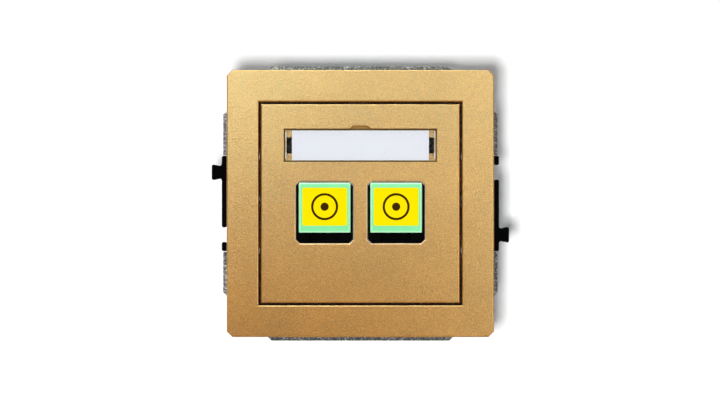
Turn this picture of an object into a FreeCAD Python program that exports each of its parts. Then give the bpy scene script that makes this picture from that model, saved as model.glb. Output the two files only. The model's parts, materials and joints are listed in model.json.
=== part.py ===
"""Flush-mounted fibre-optic wall outlet with two simplex SC ports, as a parametric FreeCAD document.

Frame: +X to the right and +Z up as the outlet hangs on the wall, +Y into the wall box. The origin is the
centre of the two box-screw holes, on the wall plane, which is the rear face of the support plate's rim.
Units are millimetres and degrees. Each driving dimension is a cell of the sheet "Sizes".
"""

import FreeCAD, Part
import Sketcher
import os
import re

SIZES = [
    # whole outlet
    ("front_height", 9.0, "front faces above the wall plane"),
    ("gang_pitch", 71.0, "centre distance of two outlets joined side by side"),
    ("gang_gap", 0.3, "support plate's edge inside the gang line"),
    # support plate
    ("sheet", 1.0, "support plate's steel"),
    ("jog", 1.0, "raised middle in front of the rim"),
    ("jog_wall", 0.9, "wall between the rim and the raised middle"),
    ("middle_half_width", 22.3, "raised middle's hollow"),
    ("middle_half_height", 24.3, "raised middle's hollow"),
    ("middle_corner", 2.0, "corner cut of the raised middle's hollow"),
    ("plate_corner", 12.4, "support plate's corner cut"),
    ("screw_pitch", 60.0, "box-screw distance"),
    ("screw_hole", 2.0, "box-screw hole radius"),
    ("slot_angle", 19.0, "adjusting slot's middle, above the horizontal"),
    ("slot_half", 2.4, "half the distance of an adjusting slot's end centres"),
    ("slot_radius", 1.8, "adjusting slot's end radius"),
    # gang couplers
    ("coupler_length", 24.4, "coupler strip along the plate's edge"),
    ("coupler_strip", 4.3, "coupler strip's width"),
    ("coupler_edge", 1.5, "part of the strip that reaches the wall, beside the support plate"),
    ("coupler_lift", 2.2, "coupler's front above the support plate's rim"),
    ("coupler_gap", 0.2, "support plate's notch round the coupler"),
    ("tail_height", 8.0, "dovetail and socket from the middle"),
    ("tail_reach", 2.57, "dovetail's length"),
    ("tail_neck", 3.1, "dovetail's width at the strip"),
    ("tail_tip", 4.2, "dovetail's width at the tip"),
    ("tail_slack", 0.4, "socket wider and deeper than the dovetail"),
    ("coupler_round", 0.5, "coupler's outer corners"),
    ("rivet_radius", 0.9, "coupler's moulded rivets"),
    ("rivet_inset", 1.2, "coupler's rivets inside the strip's inner edge"),
    ("rivet_height", 3.2, "coupler's rivets from the middle"),
    # trim frame
    ("trim_inset", 1.2, "trim frame's edge inside the support plate's"),
    ("trim_corner", 1.4, "trim frame's corner cut"),
    ("trim_face", 1.8, "trim frame's face"),
    ("trim_wall", 1.5, "trim frame's outer wall"),
    ("trim_gap", 0.2, "trim frame in front of the support plate and the couplers"),
    ("edge_soft", 0.35, "softened front edges"),
    ("peg_radius", 1.5, "split pegs of the trim frame and the centre plate"),
    ("peg_gap", 0.1, "hole round a peg"),
    ("peg_split", 0.7, "slit in a peg"),
    ("peg_past", 1.4, "pegs past the steel"),
    ("trim_peg_x", 21.0, "trim frame's pegs from the middle"),
    # centre plate
    ("centre_size", 50.6, "centre plate's side"),
    ("centre_gap", 0.6, "gap between the centre plate and the trim frame"),
    ("centre_face", 2.0, "centre plate's face"),
    ("centre_wall", 1.2, "centre plate's skirt"),
    ("centre_depth", 4.6, "centre plate's skirt depth"),
    ("centre_peg_x", 19.0, "centre plate's pegs from the middle, across"),
    ("centre_peg_z", 22.3, "centre plate's pegs from the middle, up and down"),
    # label window
    ("window_width", 38.9, "label recess"),
    ("window_height", 8.4, "label recess"),
    ("window_z", 14.8, "label recess's middle"),
    ("window_depth", 1.5, "label recess"),
    ("window_floor", 1.1, "floor under the label recess"),
    ("notch_base", 5.4, "pry notch at the recess"),
    ("notch_top", 3.6, "pry notch at its top"),
    ("notch_height", 0.8, "pry notch"),
    ("cover_gap", 0.28, "label cover inside the recess"),
    ("cover_thick", 1.0, "label cover"),
    ("cover_recess", 0.1, "label cover behind the front"),
    ("cover_corner", 0.8, "label cover's corner radius"),
    ("clip_height", 3.5, "label cover's clips"),
    ("clip_thick", 0.7, "label cover's clips"),
    ("clip_reach", 2.4, "label cover's clips behind the cover"),
    ("clip_barb", 0.25, "barb on a clip"),
    ("clip_inset", 1.05, "clips' outer face inside the recess's end"),
    ("clip_slot_gap", 0.3, "slot around a clip"),
    ("card_width", 34.9, "label card"),
    ("card_height", 7.6, "label card"),
    ("card_thick", 0.25, "label card"),
    # ports
    ("port_width", 14.6, "port opening"),
    ("port_height", 15.7, "port opening"),
    ("port_corner", 1.0, "port opening's corner cut"),
    ("port_pitch", 18.2, "distance between the ports"),
    ("port_z", -2.28, "ports' middle"),
    # module holder
    ("holder_wall", 1.6, "holder's wall round the ports"),
    ("holder_front_gap", 0.4, "holder behind the centre plate's face"),
    ("holder_back", 6.0, "holder's rear end behind the wall plane"),
    ("holder_flange", 1.8, "holder's flange"),
    ("holder_half_width", 21.2, "holder's flange"),
    ("holder_half_height", 20.5, "holder's flange"),
    ("holder_corner", 4.0, "holder flange's corner cut"),
    ("holder_gap", 0.6, "support plate's opening round the holder"),
    ("holder_screw_x", 17.6, "holder's screws"),
    ("holder_screw_z", 16.2, "holder's screws"),
    ("holder_screw", 1.1, "holder screw's shank radius"),
    ("holder_screw_head", 2.2, "holder screw's head radius"),
    ("holder_screw_head_height", 1.5, "holder screw's head"),
    # keystone housing
    ("housing_gap", 0.1, "housing inside the port opening"),
    ("housing_recess", 0.4, "housing behind the front"),
    ("housing_back", 4.0, "housing's rear end behind the wall plane"),
    ("hook_width", 5.0, "housing's snap hooks"),
    ("hook_length", 2.2, "housing's snap hooks"),
    ("hook_height", 1.1, "housing's snap hooks"),
    ("nail_width", 8.0, "nail recess under the flap"),
    ("nail_depth", 0.9, "nail recess under the flap"),
    # flap
    ("flap_width", 13.15, "flap"),
    ("flap_thick", 1.6, "flap"),
    ("flap_recess", 0.2, "flap behind the front"),
    ("flap_top_gap", 0.22, "flap below the port opening's top"),
    ("flap_bottom_gap", 2.73, "flap above the port opening's bottom"),
    ("flap_side_gap", 0.12, "flap inside the housing's cheeks"),
    ("flap_room_gap", 0.1, "flap's room in the housing behind the hinge barrel"),
    ("barrel", 1.05, "hinge barrel's radius"),
    ("pin_radius", 0.4, "hinge pin's radius"),
    ("pin_slack", 0.03, "hinge pin's running clearance"),
    ("pin_inset", 0.15, "hinge pin's ends inside the housing"),
    ("spring_wire", 0.2, "torsion spring's wire"),
    ("spring_mean", 0.6, "torsion spring's mean radius"),
    ("spring_turns", 7.75, "torsion spring's turns"),
    ("spring_step", 0.26, "torsion spring's pitch"),
    ("spring_leg", 3.0, "torsion spring's leg on the flap"),
    ("spring_hook", 0.6, "ends of the torsion spring in the flap and in the housing"),
    ("spring_bay", 3.4, "room for the spring in the barrel"),
    ("spring_room", 0.05, "room round the spring's wire"),
    ("stop_width", 0.7, "flap's stops in the housing's lower corners"),
    ("stop_height", 1.2, "flap's stops"),
    ("stop_gap", 0.05, "flap's stops behind the flap"),
    ("sticker_width", 11.4, "sticker on the flap"),
    ("sticker_top", 1.32, "sticker below the flap's top"),
    ("sticker_bottom", 1.75, "sticker above the flap's bottom"),
    ("sticker_thick", 0.1, "sticker"),
    ("sticker_corner", 0.5, "sticker's corner radius"),
    # SC adapter
    ("adapter_width", 12.7, "adapter body"),
    ("adapter_height", 9.3, "adapter body"),
    ("adapter_length", 27.5, "adapter body"),
    ("adapter_drop", 0.37, "adapter below the port opening's middle"),
    ("adapter_gap", 0.1, "adapter inside the housing"),
    ("adapter_lip", 0.2, "adapter's mouth behind the flap's room"),
    ("collar_width", 14.2, "adapter's middle collar"),
    ("collar_height", 11.0, "adapter's middle collar"),
    ("collar_thick", 1.5, "adapter's middle collar"),
    ("collar_gap", 0.15, "collar behind the housing"),
    ("plug_width", 9.05, "SC plug's room"),
    ("plug_height", 7.45, "SC plug's room"),
    ("web_thick", 1.2, "web in the adapter's middle"),
    ("key_width", 2.3, "plug's keyway"),
    ("key_length", 8.0, "plug's keyway"),
    ("side_window_length", 4.0, "windows in the adapter's sides"),
    ("side_window_height", 3.0, "windows in the adapter's sides"),
    ("latch_gap", 0.06, "latch holder inside the adapter"),
    ("latch_base", 1.2, "latch holder's base"),
    ("latch_tube", 2.3, "latch holder's sleeve tube, outer radius"),
    ("latch_tube_length", 6.6, "latch holder's sleeve tube"),
    ("latch_lip", 0.8, "lip at the tube's mouth that keeps the sleeve in"),
    ("latch_lip_gap", 0.2, "lip round the ferrule"),
    ("latch_arm", 0.8, "latch arm's thickness"),
    ("latch_arm_width", 2.6, "latch arm's width"),
    ("latch_arm_length", 7.4, "latch arm's length"),
    ("latch_hook", 0.55, "latch arm's hook"),
    ("latch_offset", 0.35, "latch arm off the adapter's wall"),
    ("sleeve_bore", 1.25, "alignment sleeve's bore radius"),
    ("sleeve_wall", 0.35, "alignment sleeve's wall"),
    ("sleeve_length", 11.4, "alignment sleeve"),
    ("sleeve_slit", 0.45, "alignment sleeve's slit"),
    ("sleeve_slack", 0.05, "alignment sleeve in the tube"),
    # fixing claws
    ("claw_x", 26.8, "claw screw from the middle"),
    ("claw_y", 14.0, "claw's web behind the wall plane, loosened"),
    ("claw_sheet", 1.2, "claw's steel"),
    ("claw_width", 12.0, "claw's width"),
    ("claw_inner", 1.2, "claw's inner end outside the ports' room"),
    ("claw_outer", 2.6, "claw's arm outside its screw"),
    ("claw_arm", 5.0, "claw's arm in front of its web"),
    ("claw_tooth", 0.7, "claw's teeth"),
    ("claw_slope", 30.0, "ramp's slope"),
    ("claw_travel", 8.0, "claw's travel along the ramp"),
    ("claw_gap", 0.15, "claw off the ramp"),
    ("claw_slack", 0.25, "claw's slot round the screw"),
    ("nut_side", 5.5, "square nut"),
    ("nut_thick", 2.2, "square nut"),
    ("nut_gap", 0.1, "nut behind the claw"),
    ("nut_side_gap", 0.2, "nut between the claw's lugs"),
    ("lug_thick", 0.9, "claw's lugs beside the nut"),
    ("claw_screw", 1.45, "claw screw's shank radius"),
    ("claw_screw_slack", 0.3, "hole round the claw screw in the plate"),
    ("nut_slack", 0.05, "nut's bore round the screw"),
    ("claw_head", 2.7, "claw screw's head radius"),
    ("claw_screw_lift", 0.1, "claw screw's head in front of the plate"),
    ("claw_head_height", 1.8, "claw screw's head"),
    ("claw_screw_past", 2.4, "claw screw past its nut"),
    ("ramp_rib", 2.0, "ramp rib's thickness"),
    ("ramp_rib_z", 4.2, "ramp ribs from the middle"),
    ("ramp_front", 4.5, "ramp's front end behind the wall plane"),
    ("ramp_back", 14.0, "ramp's rear end behind the wall plane"),
    ("drive_slot", 0.9, "screwdriver slots"),
]

NAMES = {alias for alias, _, _ in SIZES}
PLANES = {"XY": "XY_Plane", "XZ": "XZ_Plane", "YZ": "YZ_Plane"}
SIDES = {"left": -1, "right": 1}

doc = FreeCAD.newDocument("fibre_outlet")
sheet = doc.addObject("Spreadsheet::Sheet", "Sizes")
for row, (alias, value, note) in enumerate(SIZES, 1):
    sheet.set(f"A{row}", note)
    sheet.set(f"B{row}", str(value))
    sheet.setAlias(f"B{row}", alias)
doc.recompute()

pieces = {}


def bound(text):
    """An expression with the sheet's name put before each alias."""
    return re.sub(r"[a-z][a-z_]+", lambda m: "Sizes." + m[0] if m[0] in NAMES else m[0], str(text))


def number(text):
    """What an expression is worth now."""
    return float(sheet.evalExpression(bound(text)))


# ---------------------------------------------------------------- shared levels and places, as expressions
FRONT = "-front_height"
RIM_FRONT = "(-sheet)"
MIDDLE_FRONT = "(-jog - sheet)"
PLATE_HALF = "(gang_pitch / 2 - gang_gap)"
PLATE_DIAGONAL = f"(2 * {PLATE_HALF} - plate_corner)"
TRIM_HALF = f"({PLATE_HALF} - trim_inset)"
OPENING_HALF = "(centre_size / 2 + centre_gap)"
TRIM_PEG_Z = f"(({TRIM_HALF} - trim_wall + {OPENING_HALF} + centre_wall) / 2)"
PORTS_HALF = "(port_pitch / 2 + port_width / 2)"
TOWER_HALF = f"({PORTS_HALF} + holder_wall)"
TOWER_LOW = "(port_z - port_height / 2 - holder_wall)"
TOWER_HIGH = "(port_z + port_height / 2 + holder_wall)"
TOWER_FRONT = f"({FRONT} + centre_face + holder_front_gap)"
FLANGE_BACK = "(holder_flange - jog)"
HOUSING_FRONT = f"({FRONT} + housing_recess)"
FLAP_FRONT = f"({FRONT} + flap_recess)"
HINGE_Y = f"({FLAP_FRONT} + barrel)"
FLAP_TOP = "(port_z + port_height / 2 - flap_top_gap)"
HINGE_Z = f"({FLAP_TOP} - barrel)"
FLAP_LOW = "(port_z - port_height / 2 + flap_bottom_gap)"
FLAP_ROOM = f"({HINGE_Y} + barrel + flap_room_gap)"
ADAPTER_FRONT = f"({FLAP_ROOM} + adapter_lip)"
ADAPTER_BACK = f"({ADAPTER_FRONT} + adapter_length)"
ADAPTER_Z = "(port_z - adapter_drop)"
ADAPTER_MID = f"({ADAPTER_FRONT} + adapter_length / 2)"
CLAW_IN = f"({PORTS_HALF} + claw_inner)"
CLAW_OUT = "(claw_x + claw_outer)"
HOOK_FRONT = f"({TOWER_FRONT} + holder_wall)"
COUPLER_FRONT = f"({RIM_FRONT} - coupler_lift)"
COUPLER_OUT = "(gang_pitch / 2)"
COUPLER_IN = f"({COUPLER_OUT} - coupler_strip)"
RIVET_X = f"({COUPLER_IN} + rivet_inset)"
SPRING_X = "(spring_turns * spring_step / 2)"
SPRING_BACK = f"({HINGE_Y} + spring_mean)"


# ---------------------------------------------------------------- sketches and features
def rectangle(x0, x1, y0, y1):
    return [(x0, y0), (x1, y0), (x1, y1), (x0, y1)]


def cut_rectangle(x0, x1, y0, y1, cut):
    """A rectangle with its four corners cut at 45 degrees."""
    return [
        (f"{x0} + {cut}", y0), (f"{x1} - {cut}", y0),
        (x1, f"{y0} + {cut}"), (x1, f"{y1} - {cut}"),
        (f"{x1} - {cut}", y1), (f"{x0} + {cut}", y1),
        (x0, f"{y1} - {cut}"), (x0, f"{y0} + {cut}"),
    ]


def octagon(half, diagonal):
    """A square of this half side whose corners are cut where x + z reaches the diagonal."""
    cut = f"(2 * {half} - {diagonal})"
    return cut_rectangle(f"-{half}", half, f"-{half}", half, cut)


def circle(x, y, radius):
    return {"centre": (x, y), "radius": radius}


def mirrored(loop):
    """The same outline on the other side of X = 0."""
    if isinstance(loop, dict):
        return circle(f"-({loop['centre'][0]})", loop["centre"][1], loop["radius"])
    return [(f"-({x})", y) for x, y in loop]


def on_side(side, loop):
    return loop if SIDES[side] > 0 else mirrored(loop)


def pin_point(sketch, geometry, point, place, name):
    """Dimensions a sketch point from the sketch's origin, each bound to its expression."""
    for axis, text in zip("XY", place):
        value = number(text)
        index = sketch.addConstraint(Sketcher.Constraint("Distance" + axis, -1, 1, geometry, point, value))
        sketch.renameConstraint(index, name + axis.lower())
        sketch.setExpression(f"Constraints.{name}{axis.lower()}", bound(text))


def draw_circle(sketch, loop, name):
    centre = FreeCAD.Vector(number(loop["centre"][0]), number(loop["centre"][1]), 0)
    made = sketch.addGeometry(Part.Circle(centre, FreeCAD.Vector(0, 0, 1), number(loop["radius"])), False)
    pin_point(sketch, made, 3, loop["centre"], name)
    index = sketch.addConstraint(Sketcher.Constraint("Radius", made, number(loop["radius"])))
    sketch.renameConstraint(index, name + "r")
    sketch.setExpression(f"Constraints.{name}r", bound(loop["radius"]))


def draw_polygon(sketch, loop, name):
    corners = [FreeCAD.Vector(number(x), number(y), 0) for x, y in loop]
    count = len(corners)
    first = sketch.GeometryCount
    lines = [Part.LineSegment(corners[i], corners[(i + 1) % count]) for i in range(count)]
    sketch.addGeometry(lines, False)
    for i in range(count):
        after = first + (i + 1) % count
        sketch.addConstraint(Sketcher.Constraint("Coincident", first + i, 2, after, 1))
    for i, place in enumerate(loop):
        pin_point(sketch, first + i, 1, place, f"{name}{i}")


class Piece:
    """One sub-part: a PartDesign body whose features are added one after another."""

    def __init__(self, label):
        self.body = doc.addObject("PartDesign::Body", label)
        self.body.Label = label
        self.label = label
        self.count = 0
        pieces[label] = self.body

    def sketch(self, plane, level, loops):
        """A sketch of closed loops on an origin plane, moved along the plane's own axis to level."""
        self.count += 1
        made = self.body.newObject("Sketcher::SketchObject", f"{self.label}_sketch_{self.count}")
        role = PLANES[plane]
        support = next(f for f in self.body.Origin.OriginFeatures if f.Role == role)
        made.AttachmentSupport = [(support, "")]
        made.MapMode = "FlatFace"
        along = f"-({level})" if plane == "XZ" else level
        made.setExpression("AttachmentOffset.Base.z", bound(along))
        for n, loop in enumerate(loops):
            draw = draw_circle if isinstance(loop, dict) else draw_polygon
            draw(made, loop, f"{'abcdefghijklmnopqrstuvwxyz'[n]}_")
        return made

    def _extrude(self, kind, plane, low, high, loops):
        # an XZ sketch faces -Y; a pad runs the way its sketch faces and a pocket the other way
        pad = kind == "PartDesign::Pad"
        level = high if pad == (plane == "XZ") else low
        before = self.body.Shape.Volume if self.body.Tip else 0.0
        sketch = self.sketch(plane, level, loops)
        made = self.body.newObject(kind, f"{sketch.Name}_{'pad' if pad else 'pocket'}")
        made.Profile = sketch
        made.setExpression("Length", bound(f"{high} - ({low})"))
        doc.recompute()
        grown = made.Shape.Volume - before
        if not made.isValid() or (grown <= 0) == pad:
            raise ValueError(f"{made.Name} of {self.label} changes the volume by {grown:.4f}")
        return self

    def pad(self, plane, low, high, *loops):
        return self._extrude("PartDesign::Pad", plane, low, high, loops)

    def pocket(self, plane, low, high, *loops):
        return self._extrude("PartDesign::Pocket", plane, low, high, loops)

    def ease(self, kind, size, chosen):
        """Fillets or chamfers the edges that chosen(edge) picks."""
        tip = self.body.Tip
        names = [f"Edge{n}" for n, e in enumerate(tip.Shape.Edges, 1) if chosen(e)]
        if not names:
            raise ValueError(f"{self.label}: no edge to ease")
        made = self.body.newObject(f"PartDesign::{kind}", f"{self.label}_{kind.lower()}_{self.count}")
        made.Base = (tip, names)
        made.setExpression("Radius" if kind == "Fillet" else "Size", bound(size))
        self.count += 1
        doc.recompute()
        return self

    def fillet(self, size, chosen):
        return self.ease("Fillet", size, chosen)

    def chamfer(self, size, chosen):
        return self.ease("Chamfer", size, chosen)


def near(a, b, within=1e-4):
    return abs(a - b) < within


def flat_at(edge, axis, level):
    """True for an edge that lies in the plane where that coordinate equals level."""
    value = number(level)
    return all(near(getattr(v.Point, axis), value) for v in edge.Vertexes)


def runs_along(edge, axis):
    """True for a straight edge along that axis."""
    if len(edge.Vertexes) != 2 or edge.Curve.TypeId != "Part::GeomLine":
        return False
    a, b = (v.Point for v in edge.Vertexes)
    others = [k for k in "xyz" if k != axis]
    return all(near(getattr(a, k), getattr(b, k)) for k in others)


def within(edge, x=None, y=None, z=None):
    """True if the edge's box lies inside these ranges of numbers."""
    box = edge.BoundBox
    spans = ((x, box.XMin, box.XMax), (y, box.YMin, box.YMax), (z, box.ZMin, box.ZMax))
    return all(r is None or (r[0] - 1e-3 <= low and high <= r[1] + 1e-3) for r, low, high in spans)


# ---------------------------------------------------------------- support plate and its couplers
def port_x(side):
    return f"({SIDES[side]} * port_pitch / 2)"


def slot_ends(sign_x, sign_z):
    """Centres of the two ends of an adjusting slot on the box-screw circle, tangent to it."""
    middle_x = "screw_pitch / 2 * cos(slot_angle)"
    middle_z = "screw_pitch / 2 * sin(slot_angle)"
    return [
        (
            f"{sign_x} * ({middle_x} - {end} * slot_half * sin(slot_angle))",
            f"{sign_z} * ({middle_z} + {end} * slot_half * cos(slot_angle))",
        )
        for end in (-1, 1)
    ]


def slot_sides(sign_x, sign_z):
    """The straight middle of an adjusting slot, as wide as its ends."""
    (x0, z0), (x1, z1) = slot_ends(sign_x, sign_z)
    out_x = f"{sign_x} * slot_radius * cos(slot_angle)"
    out_z = f"{sign_z} * slot_radius * sin(slot_angle)"
    return [
        (f"{x0} + {out_x}", f"{z0} + {out_z}"),
        (f"{x1} + {out_x}", f"{z1} + {out_z}"),
        (f"{x1} - {out_x}", f"{z1} - {out_z}"),
        (f"{x0} - {out_x}", f"{z0} - {out_z}"),
    ]


def support_plate():
    """Zinc-plated steel plate: a flat rim on the wall, a raised middle, and the holes for all it holds."""
    piece = Piece("support_plate")

    def middle(grow):
        wide, tall = f"(middle_half_width + {grow})", f"(middle_half_height + {grow})"
        return cut_rectangle(f"-{wide}", wide, f"-{tall}", tall, "middle_corner")

    opening = rectangle(f"-{TOWER_HALF} - holder_gap", f"{TOWER_HALF} + holder_gap",
                        f"{TOWER_LOW} - holder_gap", f"{TOWER_HIGH} + holder_gap")
    piece.pad("XZ", RIM_FRONT, "0", octagon(PLATE_HALF, PLATE_DIAGONAL), middle("0"))
    piece.pad("XZ", MIDDLE_FRONT, "0", middle("jog_wall"), middle("0"))
    piece.pad("XZ", MIDDLE_FRONT, "-jog", middle("jog_wall"), opening)
    far = f"({PLATE_HALF} + 1)"
    notch = f"({COUPLER_OUT} - coupler_edge - coupler_gap)"
    reach = "(coupler_length / 2 + coupler_gap)"
    for side in SIDES:
        piece.pocket("XZ", RIM_FRONT, "0", on_side(side, rectangle(notch, far, f"-{reach}", reach)))
    holes = [circle("0", f"{sign} * screw_pitch / 2", "screw_hole") for sign in (-1, 1)]
    for sign in (-1, 1):
        holes.append(circle(f"{sign} * claw_x", "0", "claw_screw + claw_screw_slack"))
        for up in (-1, 1):
            holes.append(circle(f"{sign} * {RIVET_X}", f"{up} * rivet_height", "rivet_radius"))
            holes.append(circle(f"{sign} * trim_peg_x", f"{up} * {TRIM_PEG_Z}", "peg_radius + peg_gap"))
            holes.append(circle(f"{sign} * centre_peg_x", f"{up} * centre_peg_z", "peg_radius + peg_gap"))
            holes.append(circle(f"{sign} * holder_screw_x", f"{up} * holder_screw_z", "holder_screw"))
    piece.pocket("XZ", MIDDLE_FRONT, "0", *holes)
    for sign in (-1, 1):
        for up in (-1, 1):
            for x, z in slot_ends(sign, up):
                piece.pocket("XZ", RIM_FRONT, "0", circle(x, z, "slot_radius"))
            piece.pocket("XZ", RIM_FRONT, "0", slot_sides(sign, up))


def coupler(side):
    """Black strip on the plate's edge, with a dovetail and a socket that gang two outlets together."""
    piece = Piece(f"coupler_{side}")
    tail = f"({-SIDES[side]} * tail_height)"
    socket = f"({SIDES[side]} * tail_height)"
    half = "coupler_length / 2"
    tip = f"({COUPLER_OUT} + tail_reach)"
    root = f"({COUPLER_OUT} - coupler_edge / 2)"
    neck, wide = "tail_neck / 2", "tail_tip / 2"
    dovetail = [
        (root, f"{tail} - {neck}"), (COUPLER_OUT, f"{tail} - {neck}"), (tip, f"{tail} - {wide}"),
        (tip, f"{tail} + {wide}"), (COUPLER_OUT, f"{tail} + {neck}"), (root, f"{tail} + {neck}"),
    ]
    mouth = "(tail_neck + tail_slack) / 2"
    inner = "(tail_tip + tail_slack) / 2"
    bottom = f"({COUPLER_OUT} - tail_reach - tail_slack / 2)"
    far = f"({COUPLER_OUT} + 1)"
    slot = [
        (far, f"{socket} - {mouth}"), (far, f"{socket} + {mouth}"), (COUPLER_OUT, f"{socket} + {mouth}"),
        (bottom, f"{socket} + {inner}"), (bottom, f"{socket} - {inner}"), (COUPLER_OUT, f"{socket} - {mouth}"),
    ]
    strip = rectangle(COUPLER_IN, COUPLER_OUT, f"-{half}", half)
    edge = rectangle(f"{COUPLER_OUT} - coupler_edge", COUPLER_OUT, f"-{half}", half)
    rivets = [on_side(side, circle(RIVET_X, f"{up} * rivet_height", "rivet_radius")) for up in (-1, 1)]
    piece.pad("XZ", COUPLER_FRONT, RIM_FRONT, on_side(side, strip))
    piece.pad("XZ", COUPLER_FRONT, "0", on_side(side, edge))
    piece.pad("XZ", COUPLER_FRONT, RIM_FRONT, on_side(side, dovetail))
    piece.pocket("XZ", COUPLER_FRONT, "0", on_side(side, slot))
    piece.pad("XZ", RIM_FRONT, "0", *rivets)
    ends = number(tip), number(COUPLER_OUT)
    piece.fillet("coupler_round", lambda e: runs_along(e, "y") and any(
        near(abs(e.Vertexes[0].X), end) for end in ends))


# ---------------------------------------------------------------- trim frame and centre plate
def split_pegs(piece, base, places):
    """Round pegs with a slit, from base to past the steel; they push into the support plate's holes."""
    end = "(peg_past - jog)"
    for x, z in places:
        piece.pad("XZ", base, end, circle(x, z, "peg_radius"))
        slit = rectangle(f"{x} - peg_radius - 1", f"{x} + peg_radius + 1",
                         f"{z} - peg_split / 2", f"{z} + peg_split / 2")
        piece.pocket("XZ", MIDDLE_FRONT, f"{end} + 1", slit)


def trim_frame():
    """Square gold frame round the centre plate."""
    piece = Piece("trim_frame")
    outer = cut_rectangle(f"-{TRIM_HALF}", TRIM_HALF, f"-{TRIM_HALF}", TRIM_HALF, "trim_corner")
    opening = rectangle(f"-{OPENING_HALF}", OPENING_HALF, f"-{OPENING_HALF}", OPENING_HALF)
    wall_in = f"({TRIM_HALF} - trim_wall)"
    skirt_out = f"({OPENING_HALF} + centre_wall)"
    inner = rectangle(f"-{wall_in}", wall_in, f"-{wall_in}", wall_in)
    skirt = rectangle(f"-{skirt_out}", skirt_out, f"-{skirt_out}", skirt_out)
    back = f"({RIM_FRONT} - trim_gap)"
    piece.pad("XZ", FRONT, f"{FRONT} + trim_face", outer, opening)
    piece.pad("XZ", FRONT, back, outer, inner)
    piece.pad("XZ", FRONT, f"{FRONT} + centre_depth", skirt, opening)
    reach = "(coupler_length / 2 + 2 * coupler_gap)"
    for side in SIDES:
        gap = rectangle(f"{wall_in} - 1", f"{TRIM_HALF} + 1", f"-{reach}", reach)
        piece.pocket("XZ", f"{COUPLER_FRONT} - trim_gap", f"{back} + 1", on_side(side, gap))
    places = [(f"{a} * trim_peg_x", f"{b} * {TRIM_PEG_Z}") for a in (-1, 1) for b in (-1, 1)]
    split_pegs(piece, f"{FRONT} + trim_face / 2", places)
    piece.fillet("edge_soft", lambda e: flat_at(e, "y", FRONT))


def window_outline():
    """Label recess with the pry notch in its upper edge."""
    half = "window_width / 2"
    low = "window_z - window_height / 2"
    high = "window_z + window_height / 2"
    return [
        (f"-{half}", low), (half, low), (half, high),
        ("notch_base / 2", high), ("notch_top / 2", f"{high} + notch_height"),
        ("-notch_top / 2", f"{high} + notch_height"), ("-notch_base / 2", high), (f"-{half}", high),
    ]


def clip_slot(side):
    """Slot in the recess's floor for one of the label cover's clips and its barb."""
    outer = "(window_width / 2 - clip_inset + clip_barb + clip_slot_gap / 2)"
    inner = "(window_width / 2 - clip_inset - clip_thick - clip_slot_gap)"
    half = "(clip_height / 2 + clip_slot_gap)"
    return on_side(side, rectangle(inner, outer, f"window_z - {half}", f"window_z + {half}"))


def port_outline(side, gap):
    """A port's outline with its corners cut, made smaller by gap all round."""
    x = port_x(side)
    half_x = f"(port_width / 2 - {gap})"
    half_z = f"(port_height / 2 - {gap})"
    return cut_rectangle(f"{x} - {half_x}", f"{x} + {half_x}", f"port_z - {half_z}", f"port_z + {half_z}",
                         "port_corner")


def centre_plate():
    """Square gold plate with the label recess and the two port openings."""
    piece = Piece("centre_plate")
    half = "centre_size / 2"
    inner = f"({half} - centre_wall)"
    face_back = f"({FRONT} + centre_face)"
    outline = rectangle(f"-{half}", half, f"-{half}", half)
    piece.pad("XZ", FRONT, face_back, outline)
    piece.pad("XZ", FRONT, f"{FRONT} + centre_depth", outline, rectangle(f"-{inner}", inner, f"-{inner}", inner))
    side = "(window_width / 2 + window_floor)"
    floor = rectangle(f"-{side}", side, "window_z - window_height / 2 - window_floor",
                      "window_z + window_height / 2 + window_floor + notch_height")
    recess = f"({FRONT} + window_depth)"
    piece.pad("XZ", FRONT, f"{recess} + window_floor", floor)
    piece.pocket("XZ", FRONT, recess, window_outline())
    piece.pocket("XZ", recess, f"{recess} + window_floor + 1", *[clip_slot(s) for s in SIDES])
    piece.pocket("XZ", FRONT, f"{recess} + window_floor + 1", *[port_outline(s, "0") for s in SIDES])
    places = [(f"{a} * centre_peg_x", f"{b} * centre_peg_z") for a in (-1, 1) for b in (-1, 1)]
    split_pegs(piece, f"{FRONT} + centre_face / 2", places)
    window_low = number("window_z - window_height / 2 - 0.1")
    port_rim = (number("port_z - port_height / 2 - 0.01"), number("port_z + port_height / 2 + 0.01"))
    edge = number(half)
    wide = number(PORTS_HALF) + 0.01
    piece.fillet("edge_soft", lambda e: flat_at(e, "y", FRONT) and (
        near(abs(e.BoundBox.Center.x), edge) or near(abs(e.BoundBox.Center.z), edge)
        or within(e, (-wide, wide), None, port_rim)))
    piece.fillet("edge_soft / 3", lambda e: flat_at(e, "y", FRONT) and within(
        e, None, None, (window_low, number(inner))))


def label_cover():
    """Clear cover that snaps into the label recess."""
    piece = Piece("label_cover")
    half = "(window_width / 2 - cover_gap)"
    low = "(window_z - window_height / 2 + cover_gap)"
    high = "(window_z + window_height / 2 - cover_gap)"
    front = f"({FRONT} + cover_recess)"
    back = f"({front} + cover_thick)"
    outer = "(window_width / 2 - clip_inset)"
    piece.pad("XZ", front, back, rectangle(f"-{half}", half, low, high))
    piece.fillet("cover_corner", lambda e: runs_along(e, "y"))
    piece.fillet("edge_soft / 2", lambda e: flat_at(e, "y", front))
    span = ("window_z - clip_height / 2", "window_z + clip_height / 2")
    end = f"({back} + clip_reach)"
    for sign in SIDES.values():
        clip = [
            (f"{sign} * ({outer} - clip_thick)", f"{back} - cover_thick / 3"),
            (f"{sign} * {outer}", f"{back} - cover_thick / 3"),
            (f"{sign} * {outer}", f"{end} - 3 * clip_barb"),
            (f"{sign} * ({outer} + clip_barb)", f"{end} - 2 * clip_barb"),
            (f"{sign} * ({outer} - clip_thick / 3)", end),
            (f"{sign} * ({outer} - clip_thick)", end),
        ]
        piece.pad("XY", span[0], span[1], clip)


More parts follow.
